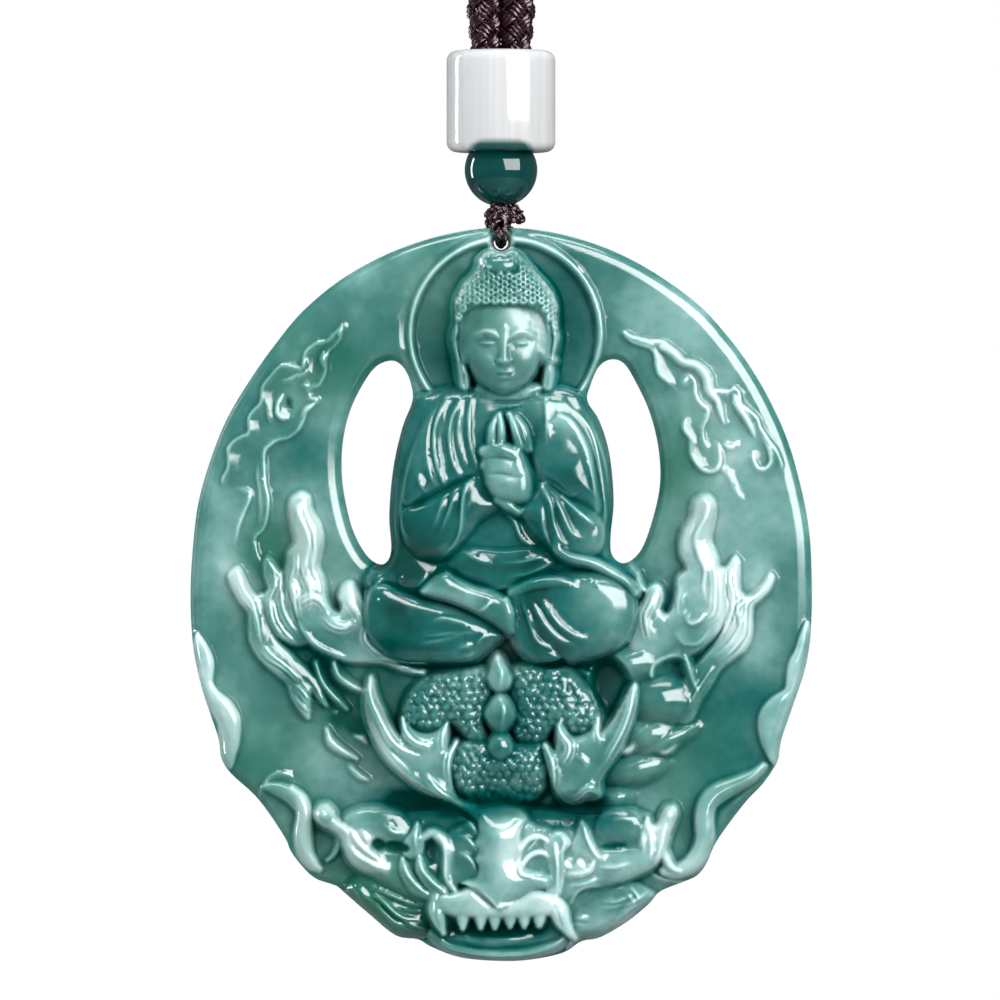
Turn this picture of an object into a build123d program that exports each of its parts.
from build123d import *
import math
import os

import numpy as np

# Carved jade pendant on a doubled thread, with a round bead, a barrel bead and a braided neck cord.
# Millimetres. X runs to the right, the carved face looks along -Y and Z is up. The origin is the
# inside top of the neck cord's loop, where the necklace hangs on a neck.

# The plaque
plaque_width = 57.0
plaque_height = 67.0
ground_thickness = 3.8
relief_depth = 5.0
edge_bevel_width = 1.6
edge_bevel_drop = 0.9
wall_slope = 2.4

# The hole through the plaque's top edge
hole_throat_diameter = 1.3
hole_mouth_diameter = 1.85
hole_below_edge = 1.2
eyelet_thickness = 2.5
eyelet_radius = 1.7

# The thread that carries the plaque
thread_diameter = 0.8
thread_stand_off = 2.2
thread_bend_radius = 0.95
thread_stem_diameter = 1.8
knot_width = 2.5
knot_height = 1.5
knot_lobe_diameter = 1.7
knot_clearance = 0.5

# The beads
round_bead_diameter = 6.7
round_bead_bore = 2.1
barrel_diameter = 10.0
barrel_height = 9.3
barrel_bore = 6.0
barrel_corner = 0.9
barrel_bore_chamfer = 0.25
bead_nest = 1.66
running_gap = 0.15

# The neck cord: its diameter, the diameter it is squeezed to in the barrel bead, and its length
cord_diameter = 3.2
cord_squeezed_diameter = 2.8
cord_length = 600.0
cord_swell_length = 4.0
cord_parallel_length = 6.0
cord_spread_radius = 40.0
neck_opening = 116.0

half_width = plaque_width / 2
half_height = plaque_height / 2
y_back = eyelet_thickness / 2


# The neck loop is two straight runs that meet a circle, with a bend at the foot of each run. Its
# lean and its rise are found by halving a range this many times.
HALVINGS = 60


def spread_angle(rise, strand_x, circle_radius):
    """The lean of the straight runs, for a neck circle whose centre is rise above the bends."""
    low, high = 0.0, math.pi / 2
    for _ in range(HALVINGS):
        lean = (low + high) / 2
        reach = math.cos(lean) * (strand_x + cord_spread_radius * (1 - math.cos(lean)))
        reach += math.sin(lean) * (rise - cord_spread_radius * math.sin(lean))
        low, high = (lean, high) if reach < circle_radius else (low, lean)
    return low


def run_length(rise, lean, strand_x, circle_radius):
    """The straight run from the end of a bend to where it touches the neck circle."""
    foot_x = strand_x + cord_spread_radius * (1 - math.cos(lean))
    foot_z = cord_spread_radius * math.sin(lean)
    return math.hypot(circle_radius * math.cos(lean) - foot_x,
                      rise - circle_radius * math.sin(lean) - foot_z)


def loop_rise(strand_x, circle_radius):
    """The height of the neck circle's centre over the bends that gives the cord its length."""
    low, high = circle_radius, cord_length
    for _ in range(HALVINGS):
        rise = (low + high) / 2
        lean = spread_angle(rise, strand_x, circle_radius)
        side = cord_parallel_length + cord_spread_radius * lean
        side += run_length(rise, lean, strand_x, circle_radius)
        total = 2 * side + circle_radius * (math.pi + 2 * lean)
        low, high = (rise, high) if total < cord_length else (low, rise)
    return low


strand_x = (cord_diameter + running_gap) / 2
squeezed_x = (cord_squeezed_diameter + running_gap) / 2
circle_radius = (neck_opening + cord_diameter) / 2
rise = loop_rise(strand_x, circle_radius)
lean = spread_angle(rise, strand_x, circle_radius)

z_neck = -neck_opening / 2
z_bend = z_neck - rise
z_barrel_top = z_bend - cord_parallel_length
z_barrel_bottom = z_barrel_top - barrel_height
z_round_bead = z_barrel_bottom - bead_nest
z_knot = z_round_bead - round_bead_diameter / 2 - running_gap - knot_height / 2
z_plaque_top = z_knot - knot_height / 2 - knot_clearance
z_hole = z_plaque_top - hole_below_edge
z_middle = z_plaque_top - half_height

# Places on the carved face are shares of the plaque: across in hundredths of the half width and up
# in hundredths of the half height, from its middle. Radii are hundredths of the half width, and
# levels are hundredths of the relief depth above the ground.
ROUND_POWER = 2.05          # the upper outline is nearly an ellipse

# across, up: the lower outline from left to right, where clouds and the dragon's jaw break the oval
LOWER_OUTLINE = [
    (-100, -3), (-98, -18), (-94, -33), (-89, -44), (-84, -52), (-78, -57), (-71, -65),
    (-68, -71), (-62, -76), (-53, -80), (-46, -85), (-37, -91), (-29, -94), (-19, -98),
    (0, -100), (18, -98), (27, -95), (37, -92), (46, -86), (54, -80), (62, -77), (67, -71),
    (70, -66), (78, -57), (85, -51), (89, -42), (94, -33), (98, -18), (100, -3)]

# across, up: the two pierced openings between the figure and the flames
LEFT_OPENING = [
    (-36, 64), (-45, 57), (-51, 41), (-51, 28), (-46, 14), (-40, 8), (-35, 12), (-35, 24),
    (-33, 39), (-29, 51), (-29, 56)]
RIGHT_OPENING = [
    (36, 64), (44, 57), (50, 43), (51, 31), (48, 17), (43, 10), (37, 9), (35, 16), (36, 30),
    (33, 43), (28, 53), (30, 59)]

# across, up, radius across, radius up, tilt in degrees, level at the crest, level at the rim
HALO = [(1.5, 71.6, 32, 32, 0, 12, 10)]
HEAD = [
    (1, 53, 10, 6, 0, 60, 40),
    (1, 80, 16.5, 12, 0, 84, 40),
    (0, 90, 8, 5, 0, 70, 35),
    (1, 67, 12.5, 15, 0, 92, 50)]
BODY = [
    (0, 42, 31, 17, 0, 68, 34),
    (0, 28, 36, 33, 0, 74, 26),
    (-25, 26, 12.5, 21, -6, 78, 44),
    (25, 28, 12, 24, 5, 80, 44),
    (0, 14, 17, 9, 0, 68, 45),
    (-1, 32, 8.5, 11, 0, 100, 70)]
LEGS = [
    (-15, -13, 20, 7, 0, 72, 38),
    (-26, -7, 18, 12, -15, 86, 36),
    (27, -4, 17, 15, 10, 88, 36)]
PEARL_MOUNDS = [
    (-15, -30, 17, 12, 0, 62, 22),
    (15, -29, 17, 12.5, 0, 64, 22),
    (-1, -49, 15, 11, 0, 64, 18),
    (0, -21, 3.6, 6, 0, 80, 55),
    (0, -33, 5, 7.2, 0, 86, 55),
    (0, -41, 3.8, 4.3, 0, 86, 55)]
CLOUDS = [
    (39, -20, 11, 6, -10, 50, 20),
    (52, -29, 10, 7.5, 0, 48, 18),
    (40, -51, 10, 5.5, 10, 36, 12),
    (64, -36, 8, 6, 0, 30, 10),
    (-57, -41, 6, 8, 20, 32, 10)]
DRAGON_MASSES = [
    (-42, -66, 12, 7.5, 0, 62, 20),
    (37, -65, 12, 7.5, 0, 60, 20),
    (-55.5, -60, 3.4, 3.4, 0, 52, 34),
    (54, -60, 3.2, 3.2, 0, 50, 34),
    (-38, -83, 17, 8, -38, 34, 8),
    (40, -83, 17, 8, 38, 34, 8)]

# across and up of the root, the bend and the tip, radius at the root and tip, level at root and tip
FIGURE_STROKES = [
    (-13.5, 74, -14, 65, -12.5, 56, 1.8, 2.2, 52, 50),
    (16.5, 74, 16, 65, 16.5, 55, 1.8, 2.2, 52, 50),
    (1.5, 34, 2, 41, 2.5, 48, 3.6, 1.8, 98, 90),
    (-24, 20, -13, 22, -4, 29, 5, 5.5, 80, 92),
    (28, 21, 19, 24, 8, 29, 5.5, 5.5, 84, 92),
    (-31, 5, -15, 0, 1, -7, 6, 7, 92, 96),
    (8, 0, 11, -9, 17, -17, 5, 5.5, 86, 82),
    (-21, 52, -23, 44, -18, 33, 1.6, 1.4, 74, 80),
    (-14, 52, -16, 44, -12, 33, 1.4, 1.2, 76, 82)]
FLAMES = [
    (-61, -8, -58, 10, -63, 27, 8, 1, 46, 34),
    (-72, -12, -72, 2, -75, 10, 6, 1, 38, 30),
    (-70, -30, -83, -8, -85.5, 7, 7, 1, 36, 26),
    (-30, -21, -45, -10, -48, 3, 9, 1, 52, 38),
    (-50, -34, -62, -22, -70, -8, 9, 6, 48, 36),
    (63, -12, 59, 10, 65.5, 27, 8, 1, 46, 34),
    (73, -12, 77, 0, 75.5, 9, 5, 1, 36, 30),
    (66, -32, 80, -12, 87, 5, 8, 1, 44, 28),
    (48, -18, 52, -8, 50, 3, 6, 1, 50, 38),
    (-77, 6, -79, 28, -70, 42, 2, 2, 14, 16),
    (-70, 42, -60, 54, -55, 68, 2, 1.6, 16, 18),
    (-89, 30, -86, 48, -72, 62, 1.8, 1.8, 12, 14),
    (68, 38, 63, 56, 44, 71, 2, 1.6, 14, 18),
    (87, 40, 76, 56, 50, 69, 1.8, 1.6, 12, 16),
    (62, 45, 68, 36, 79, 25, 2, 1.6, 16, 12)]
RIM_SCROLLS = [
    (-96, -12, -91, -27, -86, -39, 3, 3, 20, 24),
    (-86, -40, -86, -48, -77, -55, 3, 3, 22, 24),
    (-77, -52, -67, -51, -62, -61, 3, 3.4, 26, 34),
    (-62, -61, -63, -71, -57, -75, 3.2, 3, 34, 26),
    (96, -9, 91, -22, 85, -33, 3.2, 3.2, 20, 24),
    (84, -34, 83, -43, 87, -48, 3, 2.6, 22, 18),
    (64, -55, 62, -65, 58, -73, 3.4, 3, 32, 26)]
HORNS = [
    (-10, -61, -37, -45, -42, -24, 8, 1.2, 76, 46),
    (-16, -52, -27, -42, -30, -34, 5, 1.2, 66, 56),
    (-16, -48, -18, -42, -17, -35, 4, 1.2, 66, 60),
    (22, -54, 38, -36, 43, -24, 7, 1.2, 70, 46),
    (19, -54, 20, -44, 18, -35, 5, 1.2, 66, 60),
    (26, -52, 31, -43, 31.5, -34, 5, 1.2, 64, 54)]
DRAGON_FACE = [
    (-1, -60, 0, -74, 0, -84, 8, 12, 92, 100),
    (-24, -65, -17, -68, -18, -80, 2.6, 2.6, 72, 74),
    (13, -64, 17, -70, 14, -79, 2.6, 2.6, 72, 74),
    (-55, -60, -49, -70, -38, -75, 3, 5, 50, 52),
    (53, -60, 46, -70, 34, -76, 3, 5, 50, 52),
    (-19, -82, -10, -85, 0, -86, 3.4, 3, 78, 84),
    (0, -86, 9, -83, 19, -82, 3, 3.4, 84, 78),
    (-20, -83, -20, -88, -18, -93, 2.6, 1.2, 72, 60),
    (18, -82, 19, -88, 18, -95, 3, 1.4, 72, 60),
    (-23, -93, 0, -98, 23, -94, 4, 4, 60, 60)]

# across, up, radius across, radius up, level of the floor: the deep cuts between the forms
HOLLOWS = [
    (35, -27, 8, 7, -10),
    (-34, -34, 5, 6, 0),
    (-26, -58, 12, 4, -6),
    (24, -61, 12, 3.4, 0),
    (0, -91, 17, 4.4, 20)]

# The row of teeth, in the same shares
TOOTH_COUNT = 6
TOOTH_FIRST = -12.6
TOOTH_PITCH = 4.9
TOOTH_TOP, TOOTH_BEND, TOOTH_TIP = -86, -88, -91
TOOTH_TOP_RADIUS, TOOTH_TIP_RADIUS = 1.9, 0.8
TOOTH_LEVEL = 70

# How the forms are rounded: a ridge's crown as a share of its radius and the spans along it, how
# far out a hollow's sides reach, and how much more the bevel may take off the thickest edges
RIDGE_CROWN = 0.5
RIDGE_SPANS = 10
HOLLOW_REACH = 1.6
BEVEL_LIMIT = 1.4


def closed_curve(points, steps):
    """A smooth loop through shares of the plaque, as rows of x and z in millimetres."""
    knots = np.array(points, float) / 100 * (half_width, half_height)
    before = np.roll(knots, 1, axis=0)
    after = np.roll(knots, -1, axis=0)
    beyond = np.roll(knots, -2, axis=0)
    rows = []
    for share in np.arange(steps) / steps:
        rows.append(0.5 * (2 * knots + (after - before) * share
                           + (2 * before - 5 * knots + 4 * after - beyond) * share ** 2
                           + (3 * knots - before - 3 * after + beyond) * share ** 3))
    return np.stack(rows, axis=1).reshape(-1, 2)


def plaque_outline():
    """The whole outline: the oval above, by its formula, and the broken line below."""
    upper = []
    for degrees in range(172, 7, -9):
        across = math.cos(math.radians(degrees))
        up = math.sin(math.radians(degrees))
        size = (abs(across) ** ROUND_POWER + up ** ROUND_POWER) ** (-1 / ROUND_POWER)
        upper.append((100 * across * size, 100 * up * size))
    return closed_curve(upper + LOWER_OUTLINE[::-1], 3)


def depth_inside(x, z, loop):
    """How far each point lies inside a closed loop, negative outside it."""
    nearest = np.full(x.shape, np.inf)
    inside = np.zeros(x.shape, bool)
    for (ax, az), (bx, bz) in zip(loop, np.roll(loop, -1, axis=0)):
        dx, dz = bx - ax, bz - az
        share = np.clip(((x - ax) * dx + (z - az) * dz) / (dx * dx + dz * dz), 0, 1)
        nearest = np.minimum(nearest, np.hypot(x - ax - share * dx, z - az - share * dz))
        crosses = (az > z) != (bz > z)
        inside ^= crosses & (x < ax + (z - az) / (dz if dz else 1) * dx)
    return np.where(inside, nearest, -nearest)


OUTLINE = plaque_outline()
OPENINGS = [closed_curve(LEFT_OPENING, 4), closed_curve(RIGHT_OPENING, 4)]


def jade_room(x, z):
    """The distance from each point to the nearest edge of the jade, negative off the jade."""
    room = depth_inside(x, z, OUTLINE)
    for opening in OPENINGS:
        room = np.minimum(room, -depth_inside(x, z, opening))
    return room


def level(share):
    """The height over the back of a level given in hundredths of the relief depth."""
    return ground_thickness + relief_depth * share / 100


def mound(height, x, z, row):
    """Raise an oval swelling that falls steeply past its rim."""
    across, up, radius_x, radius_z, tilt, crest, rim = row
    dx = x - half_width * across / 100
    dz = z - half_height * up / 100
    turn = math.radians(tilt)
    side = (dx * math.cos(turn) + dz * math.sin(turn)) / (half_width * radius_x / 100)
    along = (dz * math.cos(turn) - dx * math.sin(turn)) / (half_width * radius_z / 100)
    reach = np.hypot(side, along)
    size = half_width * min(radius_x, radius_z) / 100
    top = level(crest) + (level(rim) - level(crest)) * np.minimum(reach, 1) ** 2
    return np.maximum(height, top - wall_slope * size * np.maximum(reach - 1, 0))


def stroke(height, x, z, row):
    """Raise a rounded ridge that runs from a root, through a bend, to a tip."""
    ends = np.array(row[:6], float).reshape(3, 2) / 100 * (half_width, half_height)
    root, bend, tip = ends
    share = np.linspace(0, 1, RIDGE_SPANS + 1)[:, None]
    line = root * (1 - share) * (1 - 2 * share) + bend * 4 * share * (1 - share)
    line = line + tip * share * (2 * share - 1)
    gap = np.full(x.shape, np.inf)
    along = np.zeros(x.shape)
    for span in range(RIDGE_SPANS):
        start = line[span]
        run = line[span + 1] - start
        at = np.clip(((x - start[0]) * run[0] + (z - start[1]) * run[1]) / (run @ run), 0, 1)
        distance = np.hypot(x - start[0] - at * run[0], z - start[1] - at * run[1])
        along = np.where(distance < gap, (span + at) / RIDGE_SPANS, along)
        gap = np.minimum(gap, distance)
    root_radius, tip_radius, root_level, tip_level = row[6:]
    radius = half_width * (root_radius + (tip_radius - root_radius) * along) / 100
    crest = level(root_level + (tip_level - root_level) * along)
    top = crest - RIDGE_CROWN * radius * np.minimum(gap / radius, 1) ** 2
    return np.maximum(height, top - wall_slope * np.maximum(gap - radius, 0))


def carved_height(x, z):
    """The height of the carved face over the flat back, at any points of the plaque."""
    room = np.maximum(jade_room(x, z), 0)
    height = np.full(x.shape, ground_thickness)
    for row in HALO + CLOUDS:
        height = mound(height, x, z, row)
    for row in FLAMES + RIM_SCROLLS:
        height = stroke(height, x, z, row)
    for row in PEARL_MOUNDS + DRAGON_MASSES:
        height = mound(height, x, z, row)
    for across, up, radius_x, radius_z, floor in HOLLOWS:
        reach = np.hypot((x - half_width * across / 100) / (half_width * radius_x / 100),
                         (z - half_height * up / 100) / (half_width * radius_z / 100))
        cut = np.clip(HOLLOW_REACH - reach, 0, 1)
        height = height + (np.minimum(height, level(floor)) - height) * cut
    for row in HORNS + DRAGON_FACE:
        height = stroke(height, x, z, row)
    for tooth in range(TOOTH_COUNT):
        across = TOOTH_FIRST + tooth * TOOTH_PITCH
        height = stroke(height, x, z, (across, TOOTH_TOP, across, TOOTH_BEND, across, TOOTH_TIP,
                                       TOOTH_TOP_RADIUS, TOOTH_TIP_RADIUS, TOOTH_LEVEL, TOOTH_LEVEL))
    for row in BODY + LEGS + HEAD:
        height = mound(height, x, z, row)
    for row in FIGURE_STROKES:
        height = stroke(height, x, z, row)
    bevel = edge_bevel_drop * (1 - np.minimum(room / edge_bevel_width, 1)) ** 2
    height = height - bevel * np.minimum(height / ground_thickness, BEVEL_LIMIT)
    from_hole = np.hypot(x, z - half_height + hole_below_edge)
    blend = np.clip((from_hole - eyelet_radius) / eyelet_radius, 0, 1)
    return height * blend + eyelet_thickness * (1 - blend)


# The face is cut into right-angled triangles, halved again and again where the carving needs it.
# Corners nearer to an edge than a share of a cell are moved onto it.
GRID_CELLS = 128
FACE_TOLERANCE = 0.26
MARGIN = 1.03
EDGE_PULL = 0.3
PROBE = 0.01
cell_x = plaque_width * MARGIN / GRID_CELLS
cell_z = plaque_height * MARGIN / GRID_CELLS


def grid_needs(heights, room):
    """The error that leaving out each grid point, or a point that hangs on it, would bring."""
    needs = np.zeros_like(heights)
    half = 1
    while half < GRID_CELLS:
        steps = range(0, GRID_CELLS + 1, half)
        mids = [(i, j) for i in steps for j in steps if (i // half + j // half) % 2]
        centres = [(i, j) for i in steps[1::2] for j in steps[1::2]]
        for i, j in mids + centres:
            if (i // half) % 2 and (j // half) % 2:
                lean = half if (i // half // 2 + j // half // 2) % 2 == 0 else -half
                pair = ((i - half, j - lean), (i + half, j + lean))
                hanging = ((i - half, j), (i + half, j), (i, j - half), (i, j + half))
            else:
                side, up = (half, 0) if (i // half) % 2 else (0, half)
                pair = ((i - side, j - up), (i + side, j + up))
                quarter = half // 2
                hanging = [(i + a, j + b) for a in (-quarter, quarter) for b in (-quarter, quarter)
                           if quarter and 0 <= i + a <= GRID_CELLS and 0 <= j + b <= GRID_CELLS]
            missed = abs(heights[i, j] - (heights[pair[0]] + heights[pair[1]]) / 2)
            if room[i, j] < -cell_z:
                missed = 0
            if half > 1 and abs(room[i, j]) < half * cell_z:
                missed = relief_depth
            needs[i, j] = max([missed] + [needs[point] for point in hanging])
        half *= 2
    return needs


def cut_triangles(needs):
    """The triangles of the grid, split at the middle of the long side until none needs it."""
    waiting = [((0, 0), (GRID_CELLS, GRID_CELLS), (GRID_CELLS, 0)),
               ((GRID_CELLS, GRID_CELLS), (0, 0), (0, GRID_CELLS))]
    kept = []
    while waiting:
        a, b, c = waiting.pop()
        middle = ((a[0] + b[0]) // 2, (a[1] + b[1]) // 2)
        if abs(a[0] - c[0]) + abs(a[1] - c[1]) > 1 and needs[middle] > FACE_TOLERANCE:
            waiting += [(c, a, middle), (b, c, middle)]
        else:
            kept.append((a, b, c))
    return kept


def face_mesh():
    """Corners (x, z, height) and triangles of the carved face, trimmed to the jade's edges."""
    across = (np.arange(GRID_CELLS + 1) - GRID_CELLS / 2) * cell_x
    upward = (np.arange(GRID_CELLS + 1) - GRID_CELLS / 2) * cell_z
    x, z = np.meshgrid(across, upward, indexing="ij")
    room = jade_room(x, z)
    heights = carved_height(x.ravel(), z.ravel()).reshape(x.shape)
    triangles = cut_triangles(grid_needs(heights, room))

    near = np.abs(room) < EDGE_PULL * cell_x
    room_x = jade_room(x[near] + PROBE, z[near]) - jade_room(x[near] - PROBE, z[near])
    room_z = jade_room(x[near], z[near] + PROBE) - jade_room(x[near], z[near] - PROBE)
    x[near] -= room_x / (2 * PROBE) * room[near]
    z[near] -= room_z / (2 * PROBE) * room[near]
    room[near] = 0

    corners = []
    number = {}

    def corner(key, place):
        if key not in number:
            number[key] = len(corners)
            corners.append(place)
        return number[key]

    trimmed = []
    for triangle in triangles:
        ring = []
        for here, there in zip(triangle, triangle[1:] + triangle[:1]):
            if room[here] >= 0:
                ring.append(corner(here, (x[here], z[here])))
            if room[here] * room[there] < 0:
                low, high = sorted((here, there))
                share = room[low] / (room[low] - room[high])
                place = (x[low] + (x[high] - x[low]) * share, z[low] + (z[high] - z[low]) * share)
                ring.append(corner((low, high), place))
        if max(room[point] for point in triangle) > 0:
            trimmed += [(ring[0], ring[k], ring[k + 1]) for k in range(1, len(ring) - 1)]
    places = np.array(corners)
    heights = carved_height(places[:, 0], places[:, 1])
    return places, heights, trimmed


def rim_loops(triangles):
    """The loops of corners round the outline and round each opening."""
    sides = {(a, b) for t in triangles for a, b in zip(t, t[1:] + t[:1])}
    following = {a: b for a, b in sides if (b, a) not in sides}
    loops = []
    while following:
        loop = [next(iter(following))]
        while loop[-1] in following:
            loop.append(following.pop(loop[-1]))
        loops.append(loop[:-1])
    return sorted(loops, key=len, reverse=True)


def flat_face(points):
    """A flat face round a few points."""
    return Face(Wire.make_polygon(points, close=True))


def jade_plaque():
    """The carved plaque: a faceted face, walls round every edge and a flat polished back."""
    places, heights, triangles = face_mesh()
    front = [Vector(px, y_back - height, pz + z_middle)
             for (px, pz), height in zip(places, heights)]
    back = [Vector(px, y_back, pz + z_middle) for px, pz in places]
    faces = [flat_face([front[a], front[b], front[c]]) for a, b, c in triangles]
    loops = rim_loops(triangles)
    for loop in loops:
        for a, b in zip(loop, loop[1:] + loop[:1]):
            faces.append(flat_face([front[a], front[b], back[b], back[a]]))
    wires = [Wire.make_polygon([back[corner] for corner in loop], close=True) for loop in loops]
    faces.append(Face(wires[0], wires[1:]))
    plaque = Solid(Shell(faces))

    # the hole: a straight throat, a third as long as the eyelet is thick, and a flared mouth each way
    throat = hole_throat_diameter / 2
    mouth = hole_mouth_diameter / 2
    throat_end = eyelet_thickness / 6
    past = eyelet_thickness
    flare = (mouth - throat) / (eyelet_thickness / 2 - throat_end)
    wide = throat + flare * (past - throat_end)
    profile = Polyline((0, -past), (wide, -past), (throat, -throat_end), (throat, throat_end),
                       (wide, past), (0, past), close=True)
    drill = revolve(make_face(Plane.XY * profile), Axis.Y)
    return plaque - Pos(0, 0, z_hole) * drill


def barrel_bead():
    """A short tube bead with soft corners and a wide bore."""
    wall = (barrel_diameter - barrel_bore) / 2
    section = Pos((barrel_diameter + barrel_bore) / 4, 0) * Rectangle(wall, barrel_height)
    outer = section.vertices().sort_by(Axis.X)[-2:]
    section = fillet(outer, barrel_corner)
    section = chamfer(section.vertices().sort_by(Axis.X)[:2], barrel_bore_chamfer)
    ring = revolve(Plane.XZ * section, Axis.Z)
    return Pos(0, 0, (z_barrel_top + z_barrel_bottom) / 2) * ring


def round_bead():
    """A drilled ball that nests in the foot of the barrel bead."""
    ball = Sphere(round_bead_diameter / 2) - Cylinder(round_bead_bore / 2, round_bead_diameter)
    return Pos(0, 0, z_round_bead) * ball


def swept_round(path, diameter):
    """A round cord or thread along a path of lines and arcs."""
    start = Plane(path @ 0, z_dir=path % 0)
    return sweep(start * Circle(diameter / 2), path)


def hanging_loop():
    """The thread through the plaque's hole, its knot under the round bead, and its stem above."""
    above_middle = knot_height / 6
    root = knot_width / 4
    shoulder = z_knot + above_middle
    path = FilletPolyline(
        (0, -root, shoulder), (0, -thread_stand_off, shoulder - thread_diameter),
        (0, -thread_stand_off, z_hole), (0, thread_stand_off, z_hole),
        (0, thread_stand_off, shoulder - thread_diameter), (0, root, shoulder),
        radius=[thread_bend_radius / 2, thread_bend_radius, thread_bend_radius,
                thread_bend_radius / 2])
    loop = swept_round(path, thread_diameter)
    slab = Box(2 * (knot_width + knot_lobe_diameter), knot_width, knot_height)
    knot = Sphere(knot_width / 2) & slab
    lobe = Pos(knot_width / 2, -above_middle, 0) * Sphere(knot_lobe_diameter / 2) & slab
    stem_top = z_round_bead + round_bead_diameter / 2 + 2 * running_gap
    stem_length = stem_top - z_knot
    stem = Pos(0, 0, z_knot + stem_length / 2) * Cylinder(thread_stem_diameter / 2, stem_length)
    return loop + Pos(0, 0, z_knot) * (knot + lobe) + stem


def neck_cord():
    """The braided cord: two ends side by side in the barrel bead and one loop round the neck."""
    side = Vector(math.sin(lean), 0, math.cos(lean))
    foot = Vector(strand_x, 0, z_bend)
    bend_end = foot + Vector(cord_spread_radius * (1 - math.cos(lean)), 0,
                             cord_spread_radius * math.sin(lean))
    touch = bend_end + side * run_length(rise, lean, strand_x, circle_radius)
    swell_top = Vector(strand_x, 0, z_barrel_top + cord_swell_length)

    def mirrored(point):
        return Vector(-point.X, 0, point.Z)

    path = Wire([
        Line(swell_top, foot),
        TangentArc(foot, bend_end, tangent=(0, 0, 1)),
        Line(bend_end, touch),
        ThreePointArc(touch, (0, 0, z_neck + circle_radius), mirrored(touch)),
        Line(mirrored(touch), mirrored(bend_end)),
        TangentArc(mirrored(bend_end), mirrored(foot), tangent=(side.X, 0, -side.Z)),
        Line(mirrored(foot), mirrored(swell_top))])
    cord = swept_round(path, cord_diameter)
    end_bottom = z_round_bead + round_bead_diameter / 2 + 3 * running_gap
    end_length = z_barrel_top - end_bottom
    for side_sign in (-1, 1):
        narrow = Pos(side_sign * squeezed_x, 0, z_barrel_top) * Circle(cord_squeezed_diameter / 2)
        full = Pos(side_sign * strand_x, 0, swell_top.Z) * Circle(cord_diameter / 2)
        cord += loft([narrow, full])
        cord += extrude(narrow, -end_length)
    return cord


os.makedirs("parts", exist_ok=True)
for name, make in (("jade_plaque", jade_plaque), ("round_bead", round_bead),
                   ("barrel_bead", barrel_bead), ("hanging_loop", hanging_loop),
                   ("neck_cord", neck_cord)):
    piece = make()
    export_step(piece, f"parts/{name}.step")
    print(name, piece.bounding_box(), round(piece.volume, 1))
print("neck circle centre over the bends", round(rise, 2), "lean", round(math.degrees(lean), 2))
